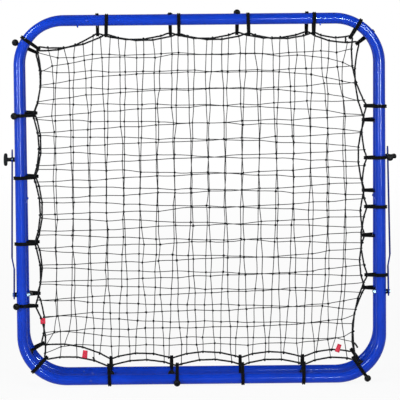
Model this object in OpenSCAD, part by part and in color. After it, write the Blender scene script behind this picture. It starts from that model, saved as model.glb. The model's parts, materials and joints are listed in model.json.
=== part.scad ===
// Folding two-sided rebounder: two square tube frames hinged along their top,
// each strung with a knotted net on ball-ended elastic loops, and held at a
// chosen angle by a notched strut and a hand knob on each side.
// Millimetres. X runs to the right, Y to the back and Z up. The origin is on the
// ground, midway between the frames and midway across them.

/* [Frames] */
// Outside width of each frame
frame_w = 1000; // [900:10:1200]
// Outside height of each frame
frame_h = 1000; // [940:10:1200]
// Outside diameter of the frame tube
tube_d = 28; // [26:1:30]
// Wall of the frame tube
tube_wall = 1.2; // [1:0.1:1.6]
// Radius of each corner bend, on the centre line of the tube
bend_r = 120; // [100:5:130]
// Angle between the frames as they stand
rest_angle = 4; // [3:0.5:6]
// Distance between the centre lines of the two top tubes
top_pitch = 58; // [54:1:64]

/* [Tube joints] */
// Length of each top and bottom tube between its joints
middle_len = 560; // [520:10:590]
// Height of the side joints above the middle of the frame
side_joint_z = -21; // [-40:1:0]
// Length of each tube end that is drawn down to enter its neighbour
spigot_len = 50; // [40:1:60]
// Radial clearance of a drawn-down end in its neighbour
spigot_gap = 0.05; // [0.03:0.01:0.15]
// Open seam between two joined tubes
joint_seam = 0.4; // [0.2:0.1:1]
// Diameter of each spring button
button_d = 7; // [6:0.5:8]
// Height of each spring button above its tube
button_rise = 2.2; // [1.5:0.1:3]
// Distance of each spring button from its seam
button_inset = 21; // [15:1:30]

/* [Hinges] */
// Distance of each hinge's inner ear beyond the spring button
hinge_inset = 23.5; // [22:0.5:29]
// Thickness of each hinge ear
ear_t = 3; // [2:0.5:4]
// Radius of the round end of each hinge ear
eye_r = 9; // [8:0.5:11]
// Depth of each ear's saddle around its tube
saddle_t = 4.5; // [3:0.5:6]
// Side clearance between the two ears of a hinge
ear_gap = 0.4; // [0.3:0.1:0.8]
// Diameter of the hinge bolts and the strut bolts
bolt_d = 6; // [5:0.5:7]
// Radial clearance of whatever turns on a bolt
run_gap = 0.05; // [0.03:0.01:0.1]
// Width across the flats of the bolt heads and nuts
hex_w = 10; // [9:0.5:12]
// Height of each bolt head
head_t = 4; // [3:0.5:4]
// Height of each lock nut
lock_nut_t = 6; // [5:0.5:7]

/* [Struts] */
// Height of the strut bolts above the middle of the frame
strut_pivot_z = -252; // [-262:1:-240]
// Height of the hand knobs above the middle of the frame
knob_z = 107; // [90:1:150]
// Height of the lower threaded inserts, used when the frames stand wide open
lower_insert_z = -244; // [-244:1:-200]
// Width of each strut
strut_w = 25; // [20:1:30]
// Thickness of each strut
strut_t = 3; // [2.5:0.5:4]
// Gap between a tube and the foot of its strut
strut_stand_off = 5; // [4.8:0.1:7]
// Outward step in each strut
strut_step = 6; // [4:0.5:10]
// Distance of the step above the strut bolt
step_start = 70; // [50:5:120]
// Length of the step
step_len = 30; // [20:5:60]
// Length of each strut beyond its notch
strut_tip = 28; // [20:1:35]
// Clearance around the knob stud at the bottom of the notch
notch_gap = 0.5; // [0.3:0.1:0.8]
// Extra half width of the notch at its mouth
notch_flare = 2.5; // [2:0.5:3]
// Upward slope of the notch towards its mouth
notch_slope = 10; // [8:1:12]

/* [Knobs] */
// Diameter of the knob studs
stud_d = 8; // [7:0.5:9]
// Length of the bar of each knob
knob_bar_len = 36; // [30:1:44]
// Width of the bar of each knob
knob_bar_w = 12; // [10:0.5:16]
// Thickness of the bar of each knob
knob_bar_t = 11; // [9:0.5:14]
// Diameter of the stem of each knob
knob_stem_d = 13; // [12:0.5:16]
// Length of the stem of each knob
knob_stem_len = 11; // [9:0.5:16]
// Lean of the left knob's bar from upright
left_knob_turn = 17; // [0:1:45]
// Lean of the right knob's bar from upright
right_knob_turn = 90; // [45:1:90]
// Length of each threaded insert inside its tube
insert_len = 15; // [12:0.5:18]
// Outside diameter of each threaded insert
insert_d = 11; // [11:0.5:12]
// Diameter of the flange of each threaded insert
flange_d = 13.5; // [13:0.5:15]
// Thickness of the flange of each threaded insert
flange_t = 1.5; // [1:0.1:2]

/* [Net] */
// Strands across each net, and as many down it
net_lines = 14; // [10:1:15]
// Distance between two strands
net_pitch = 60; // [50:1:62]
// Width of a strand
strand_w = 2.5; // [2:0.5:4]
// Thickness of the net
net_t = 2; // [1.5:0.5:3]
// Width and thickness of the rope around each net
border_t = 4.5; // [4:0.5:5]
// Distance of the border rope from the tube's centre line, at each elastic loop
tether = 38; // [34:1:44]
// Inward sag of the border rope between two loops, as a share of their distance
border_sag = 0.08; // [0.04:0.01:0.1]
// Width of the red cloth tags
tag_w = 15; // [10:1:20]
// Height of the red cloth tags
tag_h = 21; // [14:1:26]

/* [Elastic loops] */
// Thickness of the elastic cord
cord_t = 4; // [3:0.5:4]
// Width of the doubled cord where it wraps the tube
loop_w = 8.5; // [7:0.5:10]
// Diameter of the ball on each loop
ball_d = 20; // [16:1:22]
// Clearance between a loop and what it wraps
wrap_gap = 0.3; // [0.2:0.05:0.5]
// Depth of the flats that the loops under the bottom tubes rest on
floor_flat = 0.5; // [0.3:0.1:0.8]

/* [Hidden] */

// Distance of the joints of the top and bottom tubes from the frame's middle
joint_x = middle_len / 2;
// Distance of the spring buttons of those joints from the frame's middle
button_x = joint_x + button_inset;

// The elastic loops of a frame, in order around it from the right side. Each has
// the outward direction of its pull, its place along that side (a loop on a
// corner has none), and the turn of its ball around the tube: 90 is on the
// frame's outer face, -90 between the frames. Loops beside a joint follow it.
front_loops = [
    [0, -207, -90], [0, -22, -90], [0, 111, 27], [0, 250, -90], [59, 0, -90],
    [90, button_x + 8, -90], [90, 133, -90], [90, -54, -90], [90, 31 - joint_x, -90], [145, 0, -90],
    [180, 232, 64], [180, 65, -90], [180, -114, -90], [180, -282, 62], [226, 0, -90],
    [270, -252, -90], [270, -68, 75], [270, 110, -90], [270, joint_x - 4, -90], [304, 0, 8]
];
rear_loops = [
    [0, -257, -90], [0, -110, -90], [0, 13, -90], [0, 208, -90], [38, 0, -100],
    [90, button_x - 9, 90], [90, 104, 60], [90, -78, 75], [90, 5 - joint_x, -90], [156, 0, 25],
    [180, 235, -90], [180, 61, -90], [180, -121, -90], [180, -263, -90], [208, 0, -90],
    [270, -250, -90], [270, -84, -90], [270, 106, 78], [270, joint_x - 3, -90], [306, 0, -90]
];
// The spans of the front border rope that carry a tag: the loop before the span
// and the share of the span that the tag lies at.
tag_spans = [[13, 0.35], [14, 0.55], [18, 0.7]];

// Small fittings, the same on every frame
fit_gap = 0.1;
press_gap = 0.02;
bolt_end = 2;
shoulder_len = 4;
leaf_t = 0.8;
leaf_w = 8;
leaf_len = 30;
leaf_gap = 0.2;
dome_nut_t = 5;
dome_r = 4.6;
dome_wall = 2.4;
bolt_head_d = 11;
bolt_head_t = 3.3;
bolt_head_round = 1;
rivet_r = 3;
rivet_head_t = 1.4;
rivet_turn = 20;
stud_grip = 9;
tag_t = 0.8;
// How far a cutting tool reaches past what it cuts
cut = 1;

tube_r = tube_d / 2;
bore_r = tube_r - tube_wall;
spigot_r = bore_r - spigot_gap;
half_w = frame_w / 2 - tube_r;
half_h = frame_h / 2 - tube_r;
wrap_r = tube_r + wrap_gap + cord_t;
hinge_x = button_x + hinge_inset;
lean = rest_angle / 2;
hinge_z = wrap_r - floor_flat + 2 * half_h * cos(lean) - top_pitch / 2 * sin(lean);
rope_r = border_t / 2;
rope_hole_r = rope_r * sqrt(2) + wrap_gap;
ball_reach = wrap_r + ball_d / 2 + fit_gap;
seat_half = loop_w / 2 + 1;
side_x = frame_w / 2;
strut_in = side_x + strut_stand_off;
knob_in = strut_in + strut_step;
knob_seat = knob_in + strut_t + fit_gap;
button_r = button_d / 2 - fit_gap;
run_r = bolt_d / 2 + run_gap;
pivot_yz = [front_y(strut_pivot_z), side_z(strut_pivot_z)];
stud_yz = [-front_y(knob_z), side_z(knob_z)];
leaf_reach = sqrt(pow(spigot_r - tube_wall, 2) - pow(leaf_w / 2, 2)) - leaf_gap;
strut_vector = stud_yz - pivot_yz;
strut_reach = norm(strut_vector);
strut_lean = atan2(strut_vector[0], strut_vector[1]);
notch_r = stud_d / 2 + notch_gap;

frame_blue = [0.13, 0.26, 0.80];
steel = [0.78, 0.79, 0.80];
black = [0.06, 0.06, 0.07];
red = [0.88, 0.16, 0.30];
curve_fn = 64;
small_fn = 32;

// Place of a point of the front side tubes, at a height above the frame's middle
function front_y(height) = -top_pitch / 2 * cos(lean) - (half_h - height) * sin(lean);
function side_z(height) = hinge_z + top_pitch / 2 * sin(lean) - (half_h - height) * cos(lean);

// Direction of a loop, and the point of the tube's centre line that it wraps
function dir(loop) = [cos(loop[0]), sin(loop[0])];
function on_side(loop) = loop[0] % 90 == 0;
function corner(loop) = [
    sign(cos(loop[0])) * (half_w - bend_r),
    sign(sin(loop[0])) * (half_h - bend_r)
];
function foot(loop) = on_side(loop)
    ? (loop[0] % 180 == 0 ? [half_w * cos(loop[0]), loop[1]] : [loop[1], half_h * sin(loop[0])])
    : corner(loop) + bend_r * dir(loop);

// Border rope: straight where a loop holds it, and sagging inwards between loops
function anchor(loop) = foot(loop) - tether * dir(loop);
function along(loop) = [-sin(loop[0]), cos(loop[0])];
function seat(loop, end) = anchor(loop) + end * seat_half * along(loop);
function left_of(v) = [-v[1], v[0]] / norm(v);
function span_point(a, b, share) =
    let (from = seat(a, 1), to = seat(b, -1))
    from + (to - from) * share
        + left_of(to - from) * norm(to - from) * border_sag * 4 * share * (1 - share);
span_shares = [0.2, 0.5, 0.8];
function rope_line(loops, offset, seat_offset) = [
    for (i = [0:len(loops) - 1])
        let (a = loops[i], b = loops[(i + 1) % len(loops)])
        each concat(
            [seat(a, -1) + seat_offset * dir(a), seat(a, 1) + seat_offset * dir(a)],
            [for (s = span_shares)
                span_point(a, b, s) - offset * left_of(seat(b, -1) - seat(a, 1))]
        )
];

// Belt around two round pieces, a big one at the origin and a small one at -far
function belt(big, small, far) =
    let (touch = acos((big - small) / far))
    concat(
        [for (i = [0:12]) big * [cos(touch - 180 + i * (360 - 2 * touch) / 12),
                                 sin(touch - 180 + i * (360 - 2 * touch) / 12)]],
        [for (i = [0:5]) [-far, 0] + small * [cos(180 - touch + i * 2 * touch / 5),
                                              sin(180 - touch + i * 2 * touch / 5)]]
    );

// Stands a frame, drawn flat around its own middle, on the front side or the rear
module on_front() {
    translate([0, 0, hinge_z]) rotate([-lean, 0, 0])
        translate([0, -top_pitch / 2, -half_h]) children();
}
module on_rear() {
    mirror([0, 1, 0]) on_front() children();
}
module both_sides() {
    children();
    mirror([1, 0, 0]) children();
}
module rod_x(from, to, r) {
    translate([from, 0, 0]) rotate([0, 90, 0]) cylinder(h = to - from, r = r, $fn = small_fn);
}
// Drawn-down end of a tube: a short shoulder at its root, then the spigot
module spigot() {
    translate([0, 0, -shoulder_len]) pipe(shoulder_len, bore_r + fit_gap, spigot_r - tube_wall);
    pipe(spigot_len, spigot_r, spigot_r - tube_wall);
}
module pipe(len, r_out, r_in) {
    difference() {
        cylinder(h = len, r = r_out, $fn = curve_fn);
        translate([0, 0, -cut]) cylinder(h = len + 2 * cut, r = r_in, $fn = curve_fn);
    }
}
module button_hole() {
    rotate([90, 0, 0]) cylinder(h = tube_r + cut, d = button_d, $fn = small_fn);
}

// Top or bottom tube, with a drawn-down end at each side
module middle_tube(face) {
    full = joint_x - joint_seam;
    difference() {
        union() {
            translate([-full, 0, 0]) rotate([0, 90, 0]) pipe(2 * full, tube_r, bore_r);
            both_sides() translate([full, 0, 0]) rotate([0, 90, 0]) spigot();
        }
        both_sides() translate([button_x, 0, 0])
            scale([1, -face, 1]) button_hole();
    }
}

// One corner of a frame: two legs and the bend between them, in the upper right
module corner_legs(side_end) {
    top_len = half_w - bend_r - joint_x;
    side_len = half_h - bend_r - side_end;
    translate([joint_x, 0, half_h]) rotate([0, 90, 0]) pipe(top_len, tube_r, bore_r);
    translate([half_w, 0, side_end]) pipe(side_len, tube_r, bore_r);
    translate([half_w - bend_r, 0, half_h - bend_r]) rotate([90, 0, 0])
        rotate_extrude(angle = 90, $fn = 96) translate([bend_r, 0]) difference() {
            circle(r = tube_r, $fn = curve_fn);
            circle(r = bore_r, $fn = curve_fn);
        }
}
module top_button_cut(face) {
    translate([button_x, 0, half_h]) scale([1, -face, 1]) button_hole();
}
module side_button_cut() {
    translate([half_w, 0, side_joint_z + button_inset]) rotate([0, 0, -90]) button_hole();
}
module upper_corner(face) {
    difference() {
        corner_legs(side_joint_z);
        top_button_cut(face);
        side_button_cut();
    }
}
module lower_corner(face) {
    difference() {
        union() {
            mirror([0, 0, 1]) corner_legs(-side_joint_z + joint_seam);
            translate([half_w, 0, side_joint_z - joint_seam]) spigot();
        }
        mirror([0, 0, 1]) top_button_cut(face);
        side_button_cut();
    }
}
// Hole across a side tube, from outside it: through one wall, or through both
module side_hole(height, r, both_walls) {
    translate([half_w, 0, height])
        rod_x(both_walls ? -tube_r - cut : 0, tube_r + cut, r);
}

module front_upper_corner() { upper_corner(-1); }
module front_lower_corner() {
    difference() {
        lower_corner(-1);
        side_hole(strut_pivot_z, run_r, true);
    }
}
module rear_upper_corner() {
    difference() {
        upper_corner(1);
        side_hole(knob_z, insert_d / 2 + fit_gap, false);
    }
}
module rear_lower_corner() {
    difference() {
        lower_corner(1);
        side_hole(lower_insert_z, insert_d / 2 + fit_gap, false);
        translate([hinge_x, 0, -half_h]) rivet_hole();
    }
}

module front_top_tube() {
    color(frame_blue) on_front() translate([0, 0, half_h]) middle_tube(-1);
}
module front_bottom_tube() {
    color(frame_blue) on_front() translate([0, 0, -half_h]) middle_tube(-1);
}
module front_upper_left_corner_tube() {
    color(frame_blue) on_front() mirror([1, 0, 0]) front_upper_corner();
}
module front_upper_right_corner_tube() {
    color(frame_blue) on_front() front_upper_corner();
}
module front_lower_left_corner_tube() {
    color(frame_blue) on_front() mirror([1, 0, 0]) front_lower_corner();
}
module front_lower_right_corner_tube() {
    color(frame_blue) on_front() front_lower_corner();
}
module rear_top_tube() {
    color(frame_blue) on_rear() translate([0, 0, half_h]) middle_tube(1);
}
module rear_bottom_tube() {
    color(frame_blue) on_rear() translate([0, 0, -half_h]) difference() {
        middle_tube(1);
        both_sides() translate([hinge_x, 0, 0]) rivet_hole();
    }
}
module rear_upper_left_corner_tube() {
    color(frame_blue) on_rear() mirror([1, 0, 0]) rear_upper_corner();
}
module rear_upper_right_corner_tube() {
    color(frame_blue) on_rear() rear_upper_corner();
}
module rear_lower_left_corner_tube() {
    color(frame_blue) on_rear() mirror([1, 0, 0]) rear_lower_corner();
}
module rear_lower_right_corner_tube() {
    color(frame_blue) on_rear() rear_lower_corner();
}

// Spring button: a pin on one leaf of a folded strip spring inside the joint
module snap_button() {
    pin_len = tube_r + button_rise - leaf_reach;
    rotate([90, 0, 0]) {
        translate([0, 0, leaf_reach - leaf_t]) cylinder(h = pin_len, r = button_r, $fn = small_fn);
        translate([0, 0, leaf_reach - leaf_t + pin_len])
            cylinder(h = leaf_t, r1 = button_r, r2 = button_r - leaf_t, $fn = small_fn);
    }
    for (end = [-1, 1])
        translate([-leaf_len / 2, end * (leaf_reach - leaf_t / 2) - leaf_t / 2, -leaf_w / 2])
            cube([leaf_len, leaf_t, leaf_w]);
    translate([-leaf_len / 2 - leaf_t, -leaf_reach, -leaf_w / 2])
        cube([leaf_t + press_gap, 2 * leaf_reach, leaf_w]);
}
module snap_button_set(face) {
    both_sides() {
        for (level = [-1, 1])
            translate([button_x, 0, level * half_h])
                scale([1, -face, 1]) snap_button();
        translate([half_w, 0, side_joint_z + button_inset])
            rotate([0, 0, -90]) rotate([0, 90, 0]) snap_button();
    }
}
module front_snap_buttons() { color(frame_blue) on_front() snap_button_set(-1); }
module rear_snap_buttons() { color(frame_blue) on_rear() snap_button_set(1); }

// Hinge ear: a plate saddled on the back of the top tube, with its eye on the
// hinge line midway between the two top tubes
module hinge_ear(from) {
    translate([from, 0, half_h]) rotate([90, 0, 90]) difference() {
        union() {
            intersection() {
                cylinder(h = ear_t, r = tube_r + saddle_t, $fn = curve_fn);
                translate([-tube_r / 2, -2 * tube_r, 0]) cube([2 * tube_r, 2 * tube_r + eye_r, ear_t]);
            }
            translate([0, -eye_r, 0]) cube([top_pitch / 2, 2 * eye_r, ear_t]);
            translate([top_pitch / 2, 0, 0]) cylinder(h = ear_t, r = eye_r, $fn = small_fn);
        }
        translate([0, 0, -cut])
            cylinder(h = ear_t + 2 * cut, r = tube_r + fit_gap / 2, $fn = curve_fn);
        translate([top_pitch / 2, 0, -cut])
            cylinder(h = ear_t + 2 * cut, r = run_r, $fn = small_fn);
    }
}
module front_hinge_ears() {
    color(frame_blue) on_front() both_sides() hinge_ear(hinge_x);
}
module rear_hinge_ears() {
    color(frame_blue) on_rear() both_sides() hinge_ear(hinge_x + ear_t + ear_gap);
}

// A hexagon bolt head or nut along X, starting at a given distance
module hex_x(from, height) {
    translate([from, 0, 0]) rotate([0, 90, 0])
        cylinder(h = height, r = hex_w / 2 / cos(30), $fn = 6);
}
nut_from = hinge_x + 2 * ear_t + ear_gap + fit_gap;
module hinge_bolts() {
    color(steel) translate([0, 0, hinge_z]) both_sides() {
        hex_x(hinge_x - head_t - fit_gap, head_t);
        rod_x(hinge_x - fit_gap, nut_from + lock_nut_t + bolt_end, bolt_d / 2);
    }
}
module hinge_lock_nuts() {
    color(steel) translate([0, 0, hinge_z]) both_sides() difference() {
        hex_x(nut_from, lock_nut_t);
        rod_x(nut_from - cut, nut_from + lock_nut_t + cut, run_r);
    }
}

// Net: straight strands both ways, out to an edge strand along the border rope,
// which passes inside each elastic loop
module net(loops) {
    gap = net_pitch - strand_w;
    first = -net_lines / 2 * net_pitch;
    edge = -rope_r - fit_gap;
    edge_at_loop = -rope_hole_r - cord_t - wrap_gap;
    rotate([90, 0, 0]) linear_extrude(height = net_t, center = true) difference() {
        polygon(rope_line(loops, edge, edge_at_loop));
        intersection() {
            polygon(rope_line(loops, edge - strand_w, edge_at_loop - strand_w));
            for (column = [0:net_lines], row = [0:net_lines])
                translate([first + column * net_pitch, first + row * net_pitch])
                    square(gap, center = true);
        }
    }
}
module border_rope(loops) {
    rotate([90, 0, 0]) linear_extrude(height = border_t, center = true) difference() {
        polygon(rope_line(loops, rope_r, rope_r));
        polygon(rope_line(loops, -rope_r, -rope_r));
    }
}
module front_net() { color(black) on_front() net(front_loops); }
module rear_net() { color(black) on_rear() net(rear_loops); }
module front_border_rope() { color(black) on_front() border_rope(front_loops); }
module rear_border_rope() { color(black) on_rear() border_rope(rear_loops); }

// Cloth tag, stitched to the front of the border rope
module net_tags() {
    color(red) on_front() for (tag = tag_spans) {
        a = front_loops[tag[0]];
        b = front_loops[(tag[0] + 1) % len(front_loops)];
        at = span_point(a, b, tag[1]);
        translate([at[0], -rope_r - fit_gap - tag_t / 2, at[1]])
            cube([tag_w, tag_t, tag_h], center = true);
    }
}

// Brings a piece drawn around the origin, with the pull along +X, to its loop
module at_loop(loop) {
    translate([foot(loop)[0], 0, foot(loop)[1]]) rotate([0, -loop[0], 0]) children();
}
// Doubled elastic cord around the tube and the border rope
module elastic_loop() {
    linear_extrude(height = loop_w, center = true) difference() {
        polygon(belt(wrap_r, rope_hole_r + cord_t, tether));
        polygon(belt(tube_r + wrap_gap, rope_hole_r, tether));
    }
}
module loop_set(loops, ground) {
    for (loop = loops)
        if ((loop[0] == 270) == ground) at_loop(loop) elastic_loop();
}
module above_ground() {
    difference() {
        children();
        translate([-frame_w, -frame_h / 2, -frame_h]) cube([2 * frame_w, frame_h, frame_h]);
    }
}
module front_bungee_loops() { color(black) on_front() loop_set(front_loops, false); }
module rear_bungee_loops() { color(black) on_rear() loop_set(rear_loops, false); }
module front_ground_bungee_loops() {
    color(black) above_ground() on_front() loop_set(front_loops, true);
}
module rear_ground_bungee_loops() {
    color(black) above_ground() on_rear() loop_set(rear_loops, true);
}

// Ball that the two ends of a loop are knotted into, lying on the loop
module ball_set(loops) {
    for (loop = loops)
        at_loop(loop) translate(ball_reach * [cos(loop[2]), -sin(loop[2]), 0])
            sphere(d = ball_d, $fn = small_fn);
}
module front_bungee_balls() { color(black) on_front() ball_set(front_loops); }
module rear_bungee_balls() { color(black) on_rear() ball_set(rear_loops); }

// Strut bolt: round head outside the strut, shank through the side tube
module at_pivot() {
    on_front() both_sides() translate([0, 0, strut_pivot_z]) children();
}
module strut_pivot_bolts() {
    head_from = strut_in + strut_t + fit_gap;
    head_to = head_from + bolt_head_t;
    inner_end = half_w - tube_r - dome_nut_t - bolt_end;
    color(steel) at_pivot() {
        rod_x(head_from, head_to - bolt_head_round, bolt_head_d / 2);
        translate([head_to - bolt_head_round, 0, 0]) rotate([0, 90, 0])
            cylinder(h = bolt_head_round, r1 = bolt_head_d / 2,
                r2 = bolt_head_d / 2 - 1.5 * bolt_head_round, $fn = small_fn);
        rod_x(inner_end, head_from, bolt_d / 2);
    }
}
module strut_spacers() {
    color(black) at_pivot() difference() {
        rod_x(side_x + fit_gap, strut_in - fit_gap, knob_stem_d / 2);
        rod_x(side_x - cut, strut_in + cut, run_r);
    }
}
module strut_dome_nuts() {
    seat_x = half_w - tube_r - fit_gap;
    color(steel) at_pivot() difference() {
        union() {
            hex_x(seat_x - dome_nut_t, dome_nut_t);
            translate([seat_x - dome_nut_t, 0, 0]) sphere(r = dome_r, $fn = small_fn);
        }
        rod_x(seat_x - dome_nut_t - dome_r + dome_wall, seat_x + cut, run_r);
    }
}

// Threaded insert in the outer wall of a rear side tube
module insert() {
    difference() {
        union() {
            rod_x(side_x, side_x + flange_t, flange_d / 2);
            rod_x(side_x + flange_t - insert_len, side_x + flange_t, insert_d / 2);
        }
        rod_x(side_x - insert_len - cut, side_x + flange_t + cut, stud_d / 2 + run_gap);
    }
}
module threaded_inserts() {
    color(steel) on_rear() both_sides() for (height = [knob_z, lower_insert_z])
        translate([0, 0, height]) insert();
}
module at_knob() {
    on_rear() translate([0, 0, knob_z]) children();
}
module knob_spacers() {
    color(black) at_knob() both_sides() difference() {
        rod_x(side_x + flange_t + fit_gap, knob_in - fit_gap, knob_stem_d / 2);
        rod_x(side_x, knob_in + cut, stud_d / 2 + run_gap);
    }
}

// Small domed rivets on the bottom rear tube, below the hinges
module rivet_hole() {
    rotate([rivet_turn, 0, 0]) rotate([-90, 0, 0])
        cylinder(h = tube_r + cut, r = rivet_r / 2 + fit_gap, $fn = small_fn);
}
module bottom_rivets() {
    color(frame_blue) on_rear() both_sides() translate([hinge_x, 0, -half_h])
        rotate([rivet_turn, 0, 0]) rotate([-90, 0, 0]) {
            translate([0, 0, bore_r - rivet_head_t])
                cylinder(h = tube_wall + 2 * rivet_head_t, r = rivet_r / 2, $fn = small_fn);
            translate([0, 0, tube_r + 2 * fit_gap])
                cylinder(h = rivet_head_t, r1 = rivet_r, r2 = rivet_r / 2, $fn = small_fn);
        }
}

// Strut, drawn upright from its bolt: stepped outwards so that its upper part
// clears the loops, with a notch in its front edge for the knob stud
module strut() {
    top = strut_reach + strut_tip;
    difference() {
        intersection() {
            translate([0, strut_w / 2, 0]) rotate([90, 0, 0]) linear_extrude(height = strut_w)
                polygon([
                    [strut_in, -strut_w], [strut_in + strut_t, -strut_w],
                    [strut_in + strut_t, step_start], [knob_in + strut_t, step_start + step_len],
                    [knob_in + strut_t, top], [knob_in, top],
                    [knob_in, step_start + step_len], [strut_in, step_start]
                ]);
            union() {
                rod_x(strut_in - cut, strut_in + strut_t + cut, strut_w / 2);
                translate([strut_in - cut, -strut_w / 2, 0])
                    cube([strut_step + strut_t + 2 * cut, strut_w, top - strut_w / 2]);
                translate([0, 0, top - strut_w / 2])
                    rod_x(knob_in - cut, knob_in + strut_t + cut, strut_w / 2);
            }
        }
        rod_x(strut_in - cut, strut_in + strut_t + cut, run_r);
        translate([0, 0, strut_reach]) {
            rod_x(knob_in - cut, knob_in + strut_t + cut, notch_r);
            translate([knob_in - cut, 0, 0]) rotate([-notch_slope, 0, 0]) rotate([90, 0, 90])
                linear_extrude(height = strut_t + 2 * cut) polygon([
                    [notch_r / 2, -notch_r * 3 / 4], [notch_r / 2, notch_r * 3 / 4],
                    [-strut_w, notch_r + notch_flare], [-strut_w, -notch_r - notch_flare]
                ]);
        }
    }
}
module place_strut() {
    translate([0, pivot_yz[0], pivot_yz[1]]) rotate([-strut_lean, 0, 0]) children();
}
module left_strut() { color(frame_blue) place_strut() mirror([1, 0, 0]) strut(); }
module right_strut() { color(frame_blue) place_strut() strut(); }

// Hand knob: a T-shaped handle moulded on a threaded stud
module knob(turn) {
    bar_from = knob_seat + knob_stem_len;
    difference() {
        union() {
            rod_x(knob_seat, bar_from + cut, knob_stem_d / 2);
            rotate([turn, 0, 0]) {
                translate([bar_from, -knob_bar_w / 2, -knob_bar_len / 2 + knob_bar_w / 2])
                    cube([knob_bar_t, knob_bar_w, knob_bar_len - knob_bar_w]);
                for (end = [-1, 1])
                    translate([0, 0, end * (knob_bar_len - knob_bar_w) / 2])
                        rod_x(bar_from, bar_from + knob_bar_t, knob_bar_w / 2);
            }
        }
        rod_x(knob_seat - cut, knob_seat + stud_grip, stud_d / 2 + press_gap);
    }
}
module knob_stud() {
    rod_x(side_x + flange_t - insert_len, knob_seat + stud_grip - press_gap, stud_d / 2);
}
module left_knob() { color(black) at_knob() mirror([1, 0, 0]) knob(left_knob_turn); }
module right_knob() { color(black) at_knob() knob(right_knob_turn); }
module left_knob_stud() { color(steel) at_knob() mirror([1, 0, 0]) knob_stud(); }
module right_knob_stud() { color(steel) at_knob() knob_stud(); }

front_top_tube();
front_bottom_tube();
front_upper_left_corner_tube();
front_upper_right_corner_tube();
front_lower_left_corner_tube();
front_lower_right_corner_tube();
front_snap_buttons();
front_hinge_ears();
hinge_bolts();
hinge_lock_nuts();
front_net();
front_border_rope();
front_bungee_loops();
front_ground_bungee_loops();
front_bungee_balls();
net_tags();
strut_pivot_bolts();
strut_spacers();
strut_dome_nuts();
rear_top_tube();
rear_bottom_tube();
rear_upper_left_corner_tube();
rear_upper_right_corner_tube();
rear_lower_left_corner_tube();
rear_lower_right_corner_tube();
rear_snap_buttons();
rear_hinge_ears();
rear_net();
rear_border_rope();
rear_bungee_loops();
rear_ground_bungee_loops();
rear_bungee_balls();
threaded_inserts();
knob_spacers();
bottom_rivets();
left_strut();
right_strut();
left_knob();
left_knob_stud();
right_knob();
right_knob_stud();
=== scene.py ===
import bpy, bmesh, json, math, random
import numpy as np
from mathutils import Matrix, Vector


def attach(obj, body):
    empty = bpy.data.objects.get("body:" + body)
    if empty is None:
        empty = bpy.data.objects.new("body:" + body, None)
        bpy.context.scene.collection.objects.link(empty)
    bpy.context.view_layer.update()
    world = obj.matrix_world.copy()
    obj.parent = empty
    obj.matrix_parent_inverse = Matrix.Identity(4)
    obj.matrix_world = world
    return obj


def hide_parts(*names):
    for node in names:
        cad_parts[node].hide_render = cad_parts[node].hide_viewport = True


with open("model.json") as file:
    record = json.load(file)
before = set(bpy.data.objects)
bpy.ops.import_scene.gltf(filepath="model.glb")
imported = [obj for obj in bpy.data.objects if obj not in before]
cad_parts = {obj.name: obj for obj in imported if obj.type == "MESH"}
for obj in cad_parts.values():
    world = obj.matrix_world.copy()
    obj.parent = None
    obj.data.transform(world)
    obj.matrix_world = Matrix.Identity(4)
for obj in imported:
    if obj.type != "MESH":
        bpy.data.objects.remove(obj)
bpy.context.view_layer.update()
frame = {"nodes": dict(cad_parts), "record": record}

# %% [markdown]
# A two-sided ball rebounder for the garden: two square frames of blue steel tube, hinged
# along the top, each with a black knotted net held by elastic loops that end in balls.
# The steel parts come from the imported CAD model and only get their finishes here. Rope,
# twine, elastic, balls, knobs and cloth tags are made here, in metres, in the same place.

# %% [markdown]
# New pieces have to meet the steel exactly. The sizes that both share could be measured on
# the loaded meshes, but a short list of named values is easier to read and to check.

# %% Sizes shared with the steel parts, in metres
MM = 0.001
LEAN = math.radians(2.0)       # of each frame, from upright
HINGE_Z = 0.988196             # height of the hinges' axis
TOP_PITCH = 58 * MM            # from one top tube to the other
HALF = 486 * MM                # from a frame's middle to the centre line of its tube
BEND_R = 120 * MM              # of that line in the corners
TUBE_R = 14 * MM
TETHER = 38 * MM               # from the centre line of the tube to the border rope
SEAT_HALF = 5.25 * MM          # half of the straight bit of rope inside a loop
SAG = 0.085                    # of the border rope, as a share of its span
BALL_REACH = 28.4 * MM         # from the centre line of the tube to the middle of a ball
JOINT_X, BUTTON_X = 280, 301   # tube joints and spring buttons, in millimetres
KNOB_UP = 107 * MM             # hand knobs above the middle of the frame
print("each frame is", round(2 * (HALF + TUBE_R), 3), "m wide")

# %% [markdown]
# The camera stands seven metres in front, a little above the frame, and looks slightly
# down through a long lens. It comes first because everything else is judged through it.

# %% Camera
SENSOR_MM, PICTURE_PX, FOCAL_PX = 36, 400, 2589.7
PAN, DIP, ROLL = (math.radians(angle) for angle in (-0.2165, -5.99, 0.524))
STAND = (-0.0277, -7.0, 1.2335)
SEE_UP_TO = 400   # metres


def show(name, data):
    """Puts a mesh, a lamp or a camera into the scene."""
    obj = bpy.data.objects.new(name, data)
    bpy.context.scene.collection.objects.link(obj)
    return obj


cam = show("camera", bpy.data.cameras.new("camera"))
cam.data.sensor_width = SENSOR_MM
cam.data.lens = FOCAL_PX / PICTURE_PX * SENSOR_MM
turn = (Matrix.Rotation(PAN, 4, "Z") @ Matrix.Rotation(DIP, 4, "X")
        @ Matrix.Rotation(ROLL, 4, "Y") @ Matrix.Rotation(math.radians(90), 4, "X"))
cam.matrix_world = Matrix.Translation(STAND) @ turn
cam.data.clip_end = SEE_UP_TO
bpy.context.scene.camera = cam
bpy.context.scene.view_settings.view_transform = "Standard"
print("camera at", STAND, "with a lens of", round(cam.data.lens), "mm")


# %% [markdown]
# Each net is easiest to lay out flat, in the plane of its own frame, with the origin in
# the frame's middle. One function then stands those points up on the front or the rear.

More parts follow.
